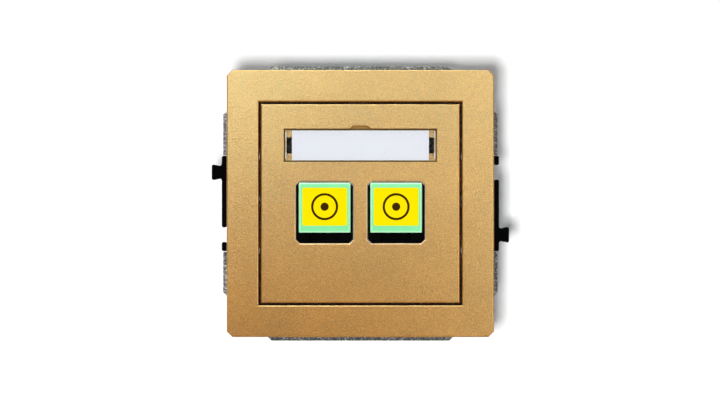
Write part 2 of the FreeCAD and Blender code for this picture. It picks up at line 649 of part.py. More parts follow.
def label_card():
    """Blank paper card behind the label cover."""
    piece = Piece("label_card")
    back = f"({FRONT} + window_depth - housing_gap / 2)"
    piece.pad("XZ", f"{back} - card_thick", back, rectangle(
        "-card_width / 2", "card_width / 2", "window_z - card_height / 2", "window_z + card_height / 2"))


# ---------------------------------------------------------------- module holder
def ramp(side, up):
    """Rib whose sloping edge spreads a claw as its screw draws it forward, as (low, high, outline)."""
    def edge(y):
        return f"({CLAW_IN} - claw_gap + (claw_y - {y}) * tan(claw_slope))"
    base = f"({TOWER_HALF} - holder_wall / 2)"
    inside = f"({PORTS_HALF} + holder_wall / 3)"
    foot = f"({FLANGE_BACK} - holder_flange / 2)"
    outline = [
        (base, foot), ("holder_half_width - holder_gap", foot),
        (edge("ramp_front"), "ramp_front - claw_gap"), (edge("ramp_front"), "ramp_front"),
        (edge("ramp_back"), "ramp_back"), (inside, "ramp_back"), (inside, "holder_back - holder_wall"),
        (base, "holder_back - holder_wall"),
    ]
    middle = f"({up} * ramp_rib_z)"
    return f"{middle} - ramp_rib / 2", f"{middle} + ramp_rib / 2", [(f"{SIDES[side]} * ({x})", y) for x, y in outline]


def hook_window(side, end):
    """Opening in the holder's upper or lower wall for a housing's snap hook."""
    x = port_x(side)
    half = "(hook_width / 2 + holder_gap / 2)"
    if end > 0:
        low, high = "port_z + port_height / 2 - 0.5", f"{TOWER_HIGH} + 1"
    else:
        low, high = f"{TOWER_LOW} - 1", "port_z - port_height / 2 + 0.5"
    return rectangle(f"{x} - {half}", f"{x} + {half}", low, high)


def module_holder():
    """Black moulding behind the support plate that holds both keystone housings and guides the claws."""
    piece = Piece("module_holder")
    flange = cut_rectangle("-holder_half_width", "holder_half_width", "-holder_half_height",
                           "holder_half_height", "holder_corner")
    tower = rectangle(f"-{TOWER_HALF}", TOWER_HALF, TOWER_LOW, TOWER_HIGH)
    piece.pad("XZ", "-jog", FLANGE_BACK, flange)
    piece.pad("XZ", TOWER_FRONT, "holder_back", tower)
    for side in SIDES:
        for up in (-1, 1):
            low, high, outline = ramp(side, up)
            piece.pad("XY", low, high, outline)
    bays = [port_outline(side, "0") for side in SIDES]
    piece.pocket("XZ", f"{TOWER_FRONT} - 1", "holder_back + 1", *bays)
    hook_back = f"({HOOK_FRONT} + hook_length + holder_gap / 2)"
    for side in SIDES:
        for end in (-1, 1):
            piece.pocket("XZ", f"{HOOK_FRONT} - holder_gap / 2", hook_back, hook_window(side, end))
    holes = [circle(f"{a} * holder_screw_x", f"{b} * holder_screw_z", "holder_screw + nut_slack")
             for a in (-1, 1) for b in (-1, 1)]
    piece.pocket("XZ", "-jog - 1", f"{FLANGE_BACK} + 1", *holes)


def holder_screws():
    """Four pan-head screws that clamp the holder to the support plate from behind."""
    made = []
    for a in (-1, 1):
        for b in (-1, 1):
            made.append(screw(f"holder_screw_{len(made)}", f"{a} * holder_screw_x", f"{b} * holder_screw_z",
                              "holder_screw - nut_slack", "holder_screw_head", "holder_screw_head_height",
                              FLANGE_BACK, f"{MIDDLE_FRONT} - sheet", 1))
    group = doc.addObject("Part::Compound", "holder_screws")
    group.Links = made
    pieces["holder_screws"] = group


def screw(name, x, z, shank, head, head_height, seat, tip, facing):
    """Pan-head screw along Y with a cross slot. facing is 1 if its head looks to +Y, and -1 if to -Y."""
    def rod(label, radius, start, end):
        low, high = (start, end) if facing > 0 else (end, start)
        made = doc.addObject("Part::Cylinder", f"{name}_{label}")
        made.setExpression("Radius", bound(radius))
        made.setExpression("Height", bound(f"{high} - ({low})"))
        made.Placement = FreeCAD.Placement(FreeCAD.Vector(), FreeCAD.Rotation(FreeCAD.Vector(1, 0, 0), -90))
        for axis, text in (("x", x), ("y", low), ("z", z)):
            made.setExpression(f"Placement.Base.{axis}", bound(text))
        return made

    top = f"({seat} + {facing} * {head_height})"
    whole = doc.addObject("Part::MultiFuse", f"{name}_whole")
    whole.Shapes = [rod("shank", shank, tip, seat), rod("head", head, seat, top)]
    doc.recompute()
    rounded = doc.addObject("Part::Fillet", f"{name}_rounded")
    rounded.Base = whole
    level = number(top)
    edges = [n for n, e in enumerate(whole.Shape.Edges, 1)
             if near(e.BoundBox.YMin, level) and near(e.BoundBox.YMax, level)]
    soft = number(head_height) * 0.45
    rounded.Edges = [(n, soft, soft) for n in edges]
    slots = []
    for across in (True, False):
        long_half, short_half = f"({head} * 0.7)", "(drive_slot / 2)"
        half_x, half_z = (long_half, short_half) if across else (short_half, long_half)
        cut = doc.addObject("Part::Box", f"{name}_slot_{int(across)}")
        cut.setExpression("Length", bound(f"2 * {half_x}"))
        cut.setExpression("Height", bound(f"2 * {half_z}"))
        cut.setExpression("Width", bound(head_height))
        depth = f"({top} - {facing} * {head_height} * 0.6)"
        start = depth if facing > 0 else f"({depth} - {head_height})"
        for axis, text in (("x", f"{x} - {half_x}"), ("y", start), ("z", f"{z} - {half_z}")):
            cut.setExpression(f"Placement.Base.{axis}", bound(text))
        slots.append(cut)
    cross = doc.addObject("Part::MultiFuse", f"{name}_cross")
    cross.Shapes = slots
    made = doc.addObject("Part::Cut", name)
    made.Base = rounded
    made.Tool = cross
    doc.recompute()
    return made


# ---------------------------------------------------------------- keystone housing, flap and hinge
def keystone_housing(side):
    """Black keystone housing: cheeks for the flap's pin in front, the SC adapter's room behind."""
    piece = Piece(f"keystone_housing_{side}")
    x = port_x(side)
    piece.pad("XZ", HOUSING_FRONT, "housing_back", port_outline(side, "housing_gap"))
    half = "(flap_width / 2 + flap_side_gap)"
    room = rectangle(f"{x} - {half}", f"{x} + {half}", f"{FLAP_LOW} - flap_top_gap",
                     "port_z + port_height / 2 + 1")
    piece.pocket("XZ", f"{HOUSING_FRONT} - 1", FLAP_ROOM, room)
    nail = rectangle(f"{x} - nail_width / 2", f"{x} + nail_width / 2",
                     f"{FLAP_LOW} - flap_bottom_gap + trim_wall / 2", f"{FLAP_LOW} + 1")
    piece.pocket("XZ", f"{HOUSING_FRONT} - 1", f"{FLAP_FRONT} + flap_thick + nail_depth / 3", nail)
    wide = "(adapter_width / 2 + adapter_gap)"
    tall = "(adapter_height / 2 + adapter_gap)"
    cavity = rectangle(f"{x} - {wide}", f"{x} + {wide}", f"{ADAPTER_Z} - {tall}", f"{ADAPTER_Z} + {tall}")
    piece.pocket("XZ", f"{FLAP_ROOM} - 1", "housing_back + 1", cavity)
    for sign in SIDES.values():
        stop = rectangle(f"{x} + {sign} * {half}", f"{x} + {sign} * ({half} - stop_width)",
                         f"{FLAP_LOW} - flap_top_gap", f"{FLAP_LOW} + stop_height")
        piece.pad("XZ", f"{FLAP_FRONT} + flap_thick + stop_gap", FLAP_ROOM, stop)
    leg_hole = circle(f"{x} + {SPRING_X}", f"{HINGE_Z} - spring_mean", "spring_wire / 2 + spring_room")
    piece.pocket("XZ", FLAP_ROOM, f"{FLAP_ROOM} + spring_hook + spring_room", leg_hole)
    cheek = "(port_width / 2 + 1)"
    piece.pocket("YZ", f"{x} - {cheek}", f"{x} + {cheek}", circle(HINGE_Y, HINGE_Z, "pin_radius"))
    top = "(port_z + port_height / 2 - housing_gap)"
    bottom = "(port_z - port_height / 2 + housing_gap)"
    span = (f"{x} - hook_width / 2", f"{x} + hook_width / 2")
    start, end = HOOK_FRONT, f"({HOOK_FRONT} + hook_length)"
    piece.pad("YZ", *span, [(start, f"{top} - 0.5"), (end, f"{top} - 0.5"), (end, f"{top} + hook_height / 4"),
                            (start, f"{top} + hook_height")])
    piece.pad("YZ", *span, [(start, f"{bottom} + 0.5"), (start, f"{bottom} - hook_height"),
                            (end, f"{bottom} - hook_height / 4"), (end, f"{bottom} + 0.5")])


def flap(side):
    """Green spring flap over the port, with a hinge barrel along its upper edge."""
    piece = Piece(f"flap_{side}")
    x = port_x(side)
    span = (f"{x} - flap_width / 2", f"{x} + flap_width / 2")
    back = f"({FLAP_FRONT} + flap_thick)"
    piece.pad("YZ", *span, [(FLAP_FRONT, FLAP_LOW), (back, FLAP_LOW), (back, HINGE_Z), (FLAP_FRONT, HINGE_Z)])
    piece.pad("YZ", *span, circle(HINGE_Y, HINGE_Z, "barrel"))
    room = "(spring_mean + spring_wire / 2 + spring_room)"
    bay = rectangle(f"{HINGE_Y} - {room}", f"{back} + 1", f"{HINGE_Z} - {room}", f"{HINGE_Z} + {room}")
    piece.pocket("YZ", f"{x} - spring_bay / 2", f"{x} + spring_bay / 2", bay)
    leg_half = "(spring_wire / 2 + spring_room)"
    leg_x, leg_end = f"({x} - {SPRING_X})", f"({HINGE_Z} - spring_leg)"
    groove = rectangle(f"{leg_x} - {leg_half}", f"{leg_x} + {leg_half}", f"{leg_end} - {leg_half}", HINGE_Z)
    piece.pocket("XZ", f"{SPRING_BACK} - {leg_half}", back, groove)
    piece.pocket("XZ", f"{back} - spring_hook - spring_room", back, circle(leg_x, leg_end, leg_half))
    piece.pocket("YZ", f"{span[0]} - 1", f"{span[1]} + 1", circle(HINGE_Y, HINGE_Z, "pin_radius + pin_slack"))
    low = number(FLAP_LOW)
    piece.chamfer("edge_soft / 2", lambda e: flat_at(e, "y", FLAP_FRONT) and (
        near(e.BoundBox.ZMax, low) or runs_along(e, "z")))


def flap_sticker(side):
    """Yellow sticker on the flap."""
    piece = Piece(f"flap_sticker_{side}")
    x = port_x(side)
    piece.pad("XZ", f"{FLAP_FRONT} - sticker_thick", FLAP_FRONT, rectangle(
        f"{x} - sticker_width / 2", f"{x} + sticker_width / 2", f"{FLAP_LOW} + sticker_bottom",
        f"{FLAP_TOP} - sticker_top"))
    piece.fillet("sticker_corner", lambda e: runs_along(e, "y"))


def flap_pin(side):
    """Steel hinge pin, pressed into the housing's cheeks."""
    made = doc.addObject("Part::Cylinder", f"flap_pin_{side}")
    half = "(port_width / 2 - housing_gap - pin_inset)"
    made.setExpression("Radius", bound("pin_radius"))
    made.setExpression("Height", bound(f"2 * {half}"))
    made.Placement = FreeCAD.Placement(FreeCAD.Vector(), FreeCAD.Rotation(FreeCAD.Vector(0, 1, 0), 90))
    for axis, text in (("x", f"{port_x(side)} - {half}"), ("y", HINGE_Y), ("z", HINGE_Z)):
        made.setExpression(f"Placement.Base.{axis}", bound(text))
    pieces[f"flap_pin_{side}"] = made


def flap_spring(side):
    """Torsion spring round the pin: one leg hooks into the flap's back, the other into the housing."""
    piece = Piece(f"flap_spring_{side}")
    x = port_x(side)
    wire = "spring_wire / 2"
    start, end = f"({x} - {SPRING_X})", f"({x} + {SPRING_X})"
    profile = piece.sketch("XY", HINGE_Z, [circle(start, SPRING_BACK, wire)])
    ends = [FreeCAD.Vector(number(place), number(HINGE_Y), 0) for place in (start, end)]
    axis = profile.addGeometry(Part.LineSegment(*ends), True)
    pin_point(profile, axis, 1, (start, HINGE_Y), "axis_")
    profile.addConstraint(Sketcher.Constraint("Horizontal", axis))
    coil = piece.body.newObject("PartDesign::AdditiveHelix", f"{piece.label}_coil")
    coil.Profile = profile
    coil.ReferenceAxis = (profile, ["Axis0"])
    coil.Mode = 0
    coil.setExpression("Pitch", bound("spring_step"))
    coil.setExpression("Height", bound("spring_turns * spring_step"))
    doc.recompute()
    foot = f"({HINGE_Z} - spring_leg)"
    piece.pad("XY", f"{foot} - {wire}", HINGE_Z, circle(start, SPRING_BACK, wire))
    piece.pad("XZ", f"{FLAP_FRONT} + flap_thick - spring_hook", SPRING_BACK, circle(start, foot, wire))
    piece.pad("XZ", HINGE_Y, f"{FLAP_ROOM} + spring_hook", circle(end, f"{HINGE_Z} - spring_mean", wire))


# ---------------------------------------------------------------- SC adapter
def adapter_body(side):
    """Green SC/APC simplex adapter body with a plug room at each end."""
    piece = Piece(f"adapter_body_{side}")
    x = port_x(side)
    wide, tall = "adapter_width / 2", "adapter_height / 2"
    body = rectangle(f"{x} - {wide}", f"{x} + {wide}", f"{ADAPTER_Z} - {tall}", f"{ADAPTER_Z} + {tall}")
    collar_wide, collar_tall = "collar_width / 2", "collar_height / 2"
    collar = rectangle(f"{x} - {collar_wide}", f"{x} + {collar_wide}", f"{ADAPTER_Z} - {collar_tall}",
                       f"{ADAPTER_Z} + {collar_tall}")
    collar_front = "(housing_back + collar_gap)"
    piece.pad("XZ", ADAPTER_FRONT, ADAPTER_BACK, body)
    piece.pad("XZ", collar_front, f"{collar_front} + collar_thick", collar)
    room_wide, room_tall = "plug_width / 2", "plug_height / 2"
    room = rectangle(f"{x} - {room_wide}", f"{x} + {room_wide}", f"{ADAPTER_Z} - {room_tall}",
                     f"{ADAPTER_Z} + {room_tall}")
    key = rectangle(f"{x} - key_width / 2", f"{x} + key_width / 2", f"{ADAPTER_Z}",
                    f"{ADAPTER_Z} + {tall} + 1")
    piece.pocket("XZ", f"{ADAPTER_FRONT} - 1", f"{ADAPTER_MID} - web_thick / 2", room)
    piece.pocket("XZ", f"{ADAPTER_MID} + web_thick / 2", f"{ADAPTER_BACK} + 1", room)
    piece.pocket("XZ", f"{ADAPTER_FRONT} - 1", f"{ADAPTER_FRONT} + key_length", key)
    piece.pocket("XZ", f"{ADAPTER_BACK} - key_length", f"{ADAPTER_BACK} + 1", key)
    piece.pocket("XZ", f"{ADAPTER_MID} - web_thick", f"{ADAPTER_MID} + web_thick",
                 circle(x, ADAPTER_Z, "sleeve_bore + sleeve_wall + 3 * sleeve_slack"))
    window_at = f"({ADAPTER_BACK} - key_length)"
    window = rectangle(window_at, f"{window_at} + side_window_length", f"{ADAPTER_Z} - side_window_height / 2",
                       f"{ADAPTER_Z} + side_window_height / 2")
    piece.pocket("YZ", f"{x} - adapter_width", f"{x} + adapter_width", window)
    back = number(ADAPTER_BACK)
    piece.chamfer("edge_soft", lambda e: near(e.BoundBox.YMin, back) and near(e.BoundBox.YMax, back) and (
        near(abs(e.BoundBox.Center.x - number(x)), number(wide))
        or near(e.BoundBox.Center.z, number(f"{ADAPTER_Z} - {tall}"))))


def latch_holder(side, end):
    """White inner half of the adapter: base, sleeve tube and two latch arms, facing the front (-1) or rear (1)."""
    piece = Piece(f"latch_holder_{'rear' if end > 0 else 'front'}_{side}")
    x = port_x(side)

    def span(a, b):
        """The stretch from a to b beyond the web, measured towards this half's mouth."""
        if end > 0:
            start = f"({ADAPTER_MID} + web_thick / 2)"
            return f"{start} + {a}", f"{start} + {b}"
        start = f"({ADAPTER_MID} - web_thick / 2)"
        return f"{start} - ({b})", f"{start} - ({a})"

    wide, tall = "(plug_width / 2 - latch_gap)", "(plug_height / 2 - latch_gap)"
    base = rectangle(f"{x} - {wide}", f"{x} + {wide}", f"{ADAPTER_Z} - {tall}", f"{ADAPTER_Z} + {tall}")
    bore = circle(x, ADAPTER_Z, "sleeve_bore + sleeve_wall + sleeve_slack")
    piece.pad("XZ", *span("0", "latch_base"), base, bore)
    piece.pad("XZ", *span("0", "latch_tube_length - latch_lip"), circle(x, ADAPTER_Z, "latch_tube"), bore)
    piece.pad("XZ", *span("latch_tube_length - latch_lip", "latch_tube_length"),
              circle(x, ADAPTER_Z, "latch_tube"), circle(x, ADAPTER_Z, "sleeve_bore + latch_lip_gap"))
    arm_out = "(plug_width / 2 - latch_offset)"
    for sign in SIDES.values():
        arm = rectangle(f"{x} + {sign} * {arm_out}", f"{x} + {sign} * ({arm_out} - latch_arm)",
                        f"{ADAPTER_Z} - latch_arm_width / 2", f"{ADAPTER_Z} + latch_arm_width / 2")
        piece.pad("XZ", *span("0", "latch_arm_length"), arm)
        hook = rectangle(f"{x} + {sign} * {arm_out}", f"{x} + {sign} * ({arm_out} - latch_arm - latch_hook)",
                         f"{ADAPTER_Z} - latch_arm_width / 2", f"{ADAPTER_Z} + latch_arm_width / 2")
        piece.pad("XZ", *span("latch_arm_length - latch_base", "latch_arm_length"), hook)


def alignment_sleeve(side):
    """Split zirconia sleeve that aligns the two ferrules."""
    piece = Piece(f"alignment_sleeve_{side}")
    x = port_x(side)
    low, high = f"{ADAPTER_MID} - sleeve_length / 2", f"{ADAPTER_MID} + sleeve_length / 2"
    piece.pad("XZ", low, high, circle(x, ADAPTER_Z, "sleeve_bore + sleeve_wall"),
              circle(x, ADAPTER_Z, "sleeve_bore"))
    slit = rectangle(f"{x} - sleeve_slit / 2", f"{x} + sleeve_slit / 2", f"{ADAPTER_Z}",
                     f"{ADAPTER_Z} + sleeve_bore + 2 * sleeve_wall")
    piece.pocket("XZ", f"{low} - 1", f"{high} + 1", slit)


# ---------------------------------------------------------------- fixing claws
def claw(side):
    """Bent steel claw: a slotted web across the screw, a toothed arm beside the box wall, two lugs for the nut."""
    piece = Piece(f"claw_{side}")
    sign = SIDES[side]
    tooth = "(claw_arm / 3)"
    arm_front = "(claw_y - claw_arm)"
    arm_in = f"({CLAW_OUT} - claw_sheet * 0.8)"
    outline = [(CLAW_IN, "claw_y"), (arm_in, "claw_y"), (arm_in, arm_front), (CLAW_OUT, arm_front)]
    for n in range(3):
        outline.append((f"{CLAW_OUT} + claw_tooth", f"{arm_front} + {tooth} * {n + 0.2}"))
        outline.append((CLAW_OUT, f"{arm_front} + {tooth} * {n + 1}"))
    outline += [(CLAW_OUT, "claw_y + claw_sheet"), (CLAW_IN, "claw_y + claw_sheet")]
    piece.pad("XY", "-claw_width / 2", "claw_width / 2", [(f"{sign} * ({x})", y) for x, y in outline])
    hole = "(claw_screw + claw_slack)"
    shift = "(claw_travel * sin(claw_slope))"
    slot = rectangle(f"claw_x - {shift} - {hole}", f"claw_x + {hole}", f"-{hole}", hole)
    piece.pocket("XZ", "claw_y - 0.1", "claw_y + claw_sheet + 0.1", on_side(side, slot))
    inner = "(nut_side / 2 + nut_side_gap)"
    for up in (-1, 1):
        lug = rectangle(f"claw_x - {shift} - {hole}", f"claw_x + {hole}", f"{up} * {inner}",
                        f"{up} * ({inner} + lug_thick)")
        piece.pad("XZ", "claw_y + claw_sheet / 2", "claw_y + claw_sheet + nut_gap + nut_thick", on_side(side, lug))


def claw_nut(side):
    """Square nut that the claw's lugs keep from turning."""
    piece = Piece(f"claw_nut_{side}")
    front = "(claw_y + claw_sheet + nut_gap)"
    half = "nut_side / 2"
    x = f"({SIDES[side]} * claw_x)"
    piece.pad("XZ", front, f"{front} + nut_thick", rectangle(f"{x} - {half}", f"{x} + {half}", f"-{half}", half),
              circle(x, "0", "claw_screw + nut_slack"))


def claw_screw(side):
    """Long cross-slot screw through the support plate and the claw's nut."""
    tip = "(claw_y + claw_sheet + nut_gap + nut_thick + claw_screw_past)"
    pieces[f"claw_screw_{side}"] = screw(
        f"claw_screw_{side}", f"{SIDES[side]} * claw_x", "0", "claw_screw", "claw_head", "claw_head_height",
        f"{RIM_FRONT} - claw_screw_lift", tip, -1)


def build():
    support_plate()
    trim_frame()
    centre_plate()
    label_cover()
    label_card()
    module_holder()
    holder_screws()
    for side in SIDES:
        coupler(side)
        keystone_housing(side)
        adapter_body(side)
        for end in (-1, 1):
            latch_holder(side, end)
        alignment_sleeve(side)
        flap(side)
        flap_sticker(side)
        flap_pin(side)
        flap_spring(side)
        claw(side)
        claw_nut(side)
        claw_screw(side)


def check():
    """Stops the build if any object failed or any sub-part's shape is not a sound solid."""
    doc.recompute()
    failed = [o.Name for o in doc.Objects if "Invalid" in o.State or "Error" in o.State]
    if failed:
        raise ValueError(f"failed objects: {failed}")
    for label, piece in pieces.items():
        shape = piece.Shape
        if shape.isNull() or not shape.isValid() or not shape.Solids or shape.Volume <= 0:
            raise ValueError(f"{label} is not a sound solid")


def export():
    os.makedirs("parts", exist_ok=True)
    for label, piece in pieces.items():
        piece.Label = label
        piece.Shape.exportStep(f"parts/{label}.step")
        box = piece.Shape.BoundBox
        print(f"{label:28s} {len(piece.Shape.Solids)} solid(s) {piece.Shape.Volume:9.2f} mm3 "
              f"x {box.XMin:7.2f} {box.XMax:7.2f}  y {box.YMin:7.2f} {box.YMax:7.2f}  z {box.ZMin:7.2f} {box.ZMax:7.2f}")


build()
check()
export()
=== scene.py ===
"""Looks for the fibre-optic wall outlet: a finish for every CAD piece, and the pieces finer than the CAD.

Everything is in metres in the CAD's own frame: +X right, +Z up, +Y into the wall box.
"""

import json
import math

import bmesh
import bpy
import numpy as np
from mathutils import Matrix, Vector


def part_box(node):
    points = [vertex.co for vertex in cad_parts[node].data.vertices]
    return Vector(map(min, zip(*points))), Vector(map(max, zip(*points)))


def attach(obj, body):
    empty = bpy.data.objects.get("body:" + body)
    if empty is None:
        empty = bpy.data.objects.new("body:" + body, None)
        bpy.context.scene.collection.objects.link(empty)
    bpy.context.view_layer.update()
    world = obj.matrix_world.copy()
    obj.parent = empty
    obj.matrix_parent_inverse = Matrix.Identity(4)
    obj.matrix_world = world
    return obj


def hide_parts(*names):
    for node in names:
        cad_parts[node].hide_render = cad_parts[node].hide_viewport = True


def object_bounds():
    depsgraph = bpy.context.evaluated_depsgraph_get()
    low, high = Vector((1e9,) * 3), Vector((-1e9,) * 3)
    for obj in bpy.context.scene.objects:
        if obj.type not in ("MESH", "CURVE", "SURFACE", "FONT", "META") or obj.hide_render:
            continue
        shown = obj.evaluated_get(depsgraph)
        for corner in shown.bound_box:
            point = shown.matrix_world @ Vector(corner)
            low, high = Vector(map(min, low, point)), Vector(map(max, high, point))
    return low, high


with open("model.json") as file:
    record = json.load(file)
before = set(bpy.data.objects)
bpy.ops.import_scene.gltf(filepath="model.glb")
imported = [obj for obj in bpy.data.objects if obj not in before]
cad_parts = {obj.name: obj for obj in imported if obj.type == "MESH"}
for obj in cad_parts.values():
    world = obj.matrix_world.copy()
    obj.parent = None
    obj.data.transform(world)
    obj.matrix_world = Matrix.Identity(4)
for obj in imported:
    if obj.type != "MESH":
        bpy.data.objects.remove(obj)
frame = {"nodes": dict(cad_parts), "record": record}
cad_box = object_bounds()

MM = 0.001
SIDES = ("left", "right")
FULL_TURN = 2 * np.pi


def box_mm(node):
    """Middle and half size of a CAD node's box, in millimetres, each as an array of X, Y and Z."""
    low, high = (np.array(corner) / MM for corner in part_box(node))
    return (low + high) / 2, (high - low) / 2


# ---------------------------------------------------------------- shader building
class Field:
    """A shader socket in a sum: each operator adds one Math node to the same material."""

    def __init__(self, paint, socket):
        self.paint = paint
        self.socket = socket

    def _maths(self, operation, first, second):
        return self.paint.node("ShaderNodeMath", {"operation": operation}, {0: first, 1: second})

    def __add__(self, other):
        return self._maths("ADD", self, other)

    __radd__ = __add__

    def __sub__(self, other):
        return self._maths("SUBTRACT", self, other)

    def __rsub__(self, other):
        return self._maths("SUBTRACT", other, self)

    def __mul__(self, other):
        return self._maths("MULTIPLY", self, other)

    __rmul__ = __mul__

    def __pow__(self, other):
        return self._maths("POWER", self, other)

    def __gt__(self, other):
        return self._maths("GREATER_THAN", self, other)

    def __lt__(self, other):
        return self._maths("LESS_THAN", self, other)

    def larger(self, other):
        return self._maths("MAXIMUM", self, other)

    def __abs__(self):
        return self._maths("ABSOLUTE", self, 0.0)


class Paint:
    """A procedural material, or the world, under construction."""

    OUTPUTS = {"materials": "ShaderNodeOutputMaterial", "worlds": "ShaderNodeOutputWorld"}

    def __init__(self, name, store="materials"):
        self.owner = getattr(bpy.data, store).new(name)
        self.owner.use_nodes = True
        self.tree = self.owner.node_tree
        self.tree.nodes.clear()
        self.output = self.tree.nodes.new(self.OUTPUTS[store])

    def node(self, kind, settings=None, inputs=None, output=0):
        """Adds a node: its settings, then values or links on its sockets. Returns one of its outputs."""
        made = self.tree.nodes.new(kind)
        for name, value in (settings or {}).items():
            if name == "stops":
                self._set_stops(made.color_ramp, value)
            else:
                setattr(made, name, value)
        for name, value in (inputs or {}).items():
            if isinstance(value, Field):
                self.tree.links.new(value.socket, made.inputs[name])
            else:
                made.inputs[name].default_value = value
        return Field(self, made.outputs[output])

    @staticmethod
    def _set_stops(ramp, stops):
        while len(ramp.elements) < len(stops):
            ramp.elements.new(0.5)
        for element, (place, colour) in zip(ramp.elements, stops):
            element.position = place
            element.color = (*colour, 1.0)

    def place(self):
        """The point on the piece in millimetres."""
        metres = self.node("ShaderNodeTexCoord", output="Object")
        return self.node("ShaderNodeVectorMath", {"operation": "SCALE"}, {0: metres, "Scale": 1 / MM})

    def axes(self):
        """X, Y and Z of the point, in millimetres."""
        point = self.place()
        return [self.node("ShaderNodeSeparateXYZ", None, {0: point}, output=n) for n in range(3)]

    def noise(self, per_mm, detail=2.0, rough=0.5, stretch=None):
        """Soft noise about 0.5 with this many features per millimetre, drawn out along an axis by stretch."""
        point = self.place()
        if stretch:
            point = self.node("ShaderNodeVectorMath", {"operation": "MULTIPLY"}, {0: point, 1: stretch})
        return self.node("ShaderNodeTexNoise", None, {
            "Vector": point, "Scale": per_mm, "Detail": detail, "Roughness": rough})

    def cells(self, per_mm):
        """A random number for each Voronoi cell, with this many cells per millimetre."""
        inputs = {"Vector": self.place(), "Scale": per_mm}
        colour = self.node("ShaderNodeTexVoronoi", None, inputs, output="Color")
        return self.node("ShaderNodeSeparateColor", None, {0: colour})

    def ramp(self, factor, *stops):
        """A colour that runs through the stops, each a place from 0 to 1 and its colour."""
        return self.node("ShaderNodeValToRGB", {"stops": stops}, {0: factor})

    def span(self, value, low, high, start=0.0, end=1.0):
        """A number from low to high as the value goes from start to end, and level beyond them."""
        return self.node("ShaderNodeMapRange", {"clamp": True}, {0: value, 1: start, 2: end, 3: low, 4: high})

    def mix(self, factor, first, second):
        """The first shader at 0 and the second at 1."""
        return self.node("ShaderNodeMixShader", None, {0: factor, 1: first, 2: second})

    def blend(self, factor, first, second):
        """The first colour at 0 and the second at 1; the Mix node's colour sockets are 6, 7 and output 2."""
        pair = [colour if isinstance(colour, Field) else (*colour, 1.0) for colour in (first, second)]
        inputs = {0: factor, 6: pair[0], 7: pair[1]}
        return self.node("ShaderNodeMix", {"data_type": "RGBA"}, inputs, output=2)

    def relief(self, height, depth_mm, strength):
        """A bump of that depth where the height field goes from 0 to 1."""
        inputs = {"Strength": strength, "Distance": depth_mm * MM, "Height": height}
        return self.node("ShaderNodeBump", None, inputs)

    def surface(self, shader):
        """Puts the shader on the output and gives back the material or world."""
        self.tree.links.new(shader.socket, self.output.inputs["Surface"])
        return self.owner

    def finish(self, **sockets):
        """The principled surface: names are its shader's sockets with _ for a space."""
        inputs = {}
        for name, value in sockets.items():
            socket = name.replace("_", " ")
            is_colour = isinstance(value, tuple) and len(value) == 3 and "Radius" not in socket
            inputs[socket] = (*value, 1.0) if is_colour else value
        return self.surface(self.node("ShaderNodeBsdfPrincipled", None, inputs))


# ---------------------------------------------------------------- finishes
# In millimetres: the port round its housing, the housing's snap hooks, and the port's cut corners.
PORT_GAP = 0.1
HOOK_RISE = 1.1
PORT_CORNER = 1.0
# The band of painted shade round the label cover's edge, and the pry notch above the cover and behind the
# front face.
COVER_BAND = (-0.06, 0.36)
NOTCH_RISE = (0.18, 1.48)
NOTCH_HALF = 3.0
NOTCH_BEHIND = 0.3
# The painted brown shade on the steel behind the frame ends between these distances from the middle.
GAP_SHADE_EDGE = (28.0, 33.0)


def port_distance(paint):
    """Millimetres from a point on the front to the edge of the nearer port.

    A port is a rectangle with cut corners: its housing's box, less the snap hooks, plus the gap round it.
    """
    middle, half = (corner.tolist() for corner in box_mm("keystone_housing_right"))
    half_x, half_z = half[0] + PORT_GAP, half[2] + PORT_GAP - HOOK_RISE
    x, _, z = paint.axes()
    across = abs(abs(x) - middle[0])
    up = abs(z - middle[2])
    flat = (across - half_x).larger(up - half_z)
    return flat.larger((across + up - (half_x + half_z - PORT_CORNER)) * math.sqrt(0.5))


def gold_lacquer():
    """Pearl gold lacquer: amber binder under paler mica flakes.

    It has a painted pale highlight on a thin rim round the ports, painted shade in the gap round the label
    cover, and painted shade with a duller gloss in the pry notch above the cover.
    """
    paint = Paint("gold_lacquer")
    flake = paint.cells(5.5)
    grain = paint.noise(4.2, 3.0, 0.6)
    cloud = paint.noise(0.06, 2.0, 0.5)
    tone = flake * 0.22 + grain * 0.62 + cloud * 0.16
    amber = paint.ramp(tone, (0.38, (0.175, 0.044, 0.000)), (0.50, (0.305, 0.094, 0.003)),
                       (0.62, (0.470, 0.175, 0.014)))
    # Painted highlight: a pale pinkish rim within a fraction of a millimetre of each port, where its edge
    # catches the light.
    rim = paint.span(port_distance(paint), 0.75, 0.0, 0.10, 0.30)
    bright = paint.blend(rim, amber, (0.72, 0.52, 0.42))
    x, y, z = paint.axes()
    middle, half = (corner.tolist() for corner in box_mm("label_cover"))
    # Painted shade: a dark brown band in the recess wall round the label cover, with a duller gloss there.
    margin = (abs(x) - half[0]).larger(abs(z - middle[2]) - half[2])
    shade = (margin > COVER_BAND[0]) * (margin < COVER_BAND[1])
    # Painted shade: the pry notch above the cover is turned dark brown and given a duller gloss.
    cover_top = middle[2] + half[2]
    above_cover = (z > cover_top + NOTCH_RISE[0]) * (z < cover_top + NOTCH_RISE[1])
    notch = above_cover * (abs(x) < NOTCH_HALF) * (y > cad_box[0][1] / MM + NOTCH_BEHIND)
    notch_shaded = paint.blend(notch * 0.6, bright, (0.150, 0.050, 0.002))
    colour = paint.blend(shade * 0.95, notch_shaded, (0.050, 0.014, 0.001))
    rough = paint.span(grain, 0.24, 0.34) + shade * 0.6 + notch * 0.4
    normal = paint.relief(paint.noise(2.6, 4.0, 0.65), 0.045, 0.9)
    return paint.finish(Base_Color=colour, Metallic=0.0, Roughness=rough, Normal=normal, IOR=2.6,
                        Specular_Tint=(1.0, 0.80, 0.34))


